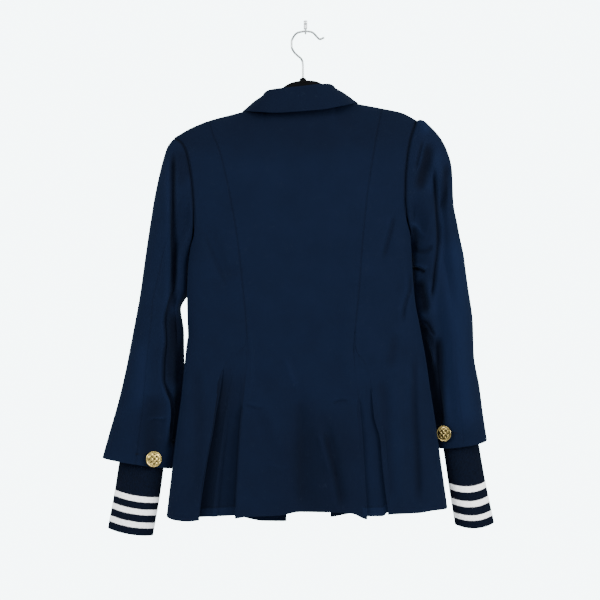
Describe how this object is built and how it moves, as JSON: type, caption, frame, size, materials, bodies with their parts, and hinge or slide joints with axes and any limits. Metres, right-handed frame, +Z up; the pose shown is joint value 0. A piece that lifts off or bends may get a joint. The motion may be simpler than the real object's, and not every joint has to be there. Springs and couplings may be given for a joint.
{
  "type": "blazer on a hanger and wall hook",
  "caption": "Navy blazer with princess seams, back pleats, striped knit cuffs and gold buttons, hanging open on a slim hanger from a wall hook.",
  "frame": {"origin": "middle of the wall hook's back face, on the wall", "axes": "+Y into the wall, +Z up, +X to the right as seen from the room; the back of the blazer faces -Y"},
  "size_m": [0.6251, 0.0938, 0.8326],
  "materials": {
    "navy_cloth": "dense matt navy suiting with a fine weave and a faint nap",
    "cuff_knit": "fine navy rib knit with three white stripes",
    "gold_button": "aged gold with darker hollows",
    "hanger_velvet": "short black flocking",
    "hook_chrome": "polished wire",
    "wall_steel": "worn bright steel"
  },
  "bodies": {
    "root": {"back_centre": "navy_cloth", "back_side_left": "navy_cloth", "back_side_right": "navy_cloth", "pleat_insert_left": "navy_cloth", "pleat_insert_right": "navy_cloth", "front_left": "navy_cloth", "front_right": "navy_cloth", "lapel_left": "navy_cloth", "lapel_right": "navy_cloth", "collar": "navy_cloth", "upper_sleeve_left": "navy_cloth", "upper_sleeve_right": "navy_cloth", "under_sleeve_left": "navy_cloth", "under_sleeve_right": "navy_cloth", "cuff_left": "cuff_knit", "cuff_right": "cuff_knit", "cuff_button_left": "gold_button", "cuff_button_right": "gold_button", "front_button_upper": "gold_button", "front_button_lower": "gold_button", "hanger_body": "hanger_velvet", "hanger_hook": "hook_chrome", "wall_plate": "wall_steel", "wall_nail": "wall_steel", "wall_hook": "wall_steel"}
  },
  "joints": []
}
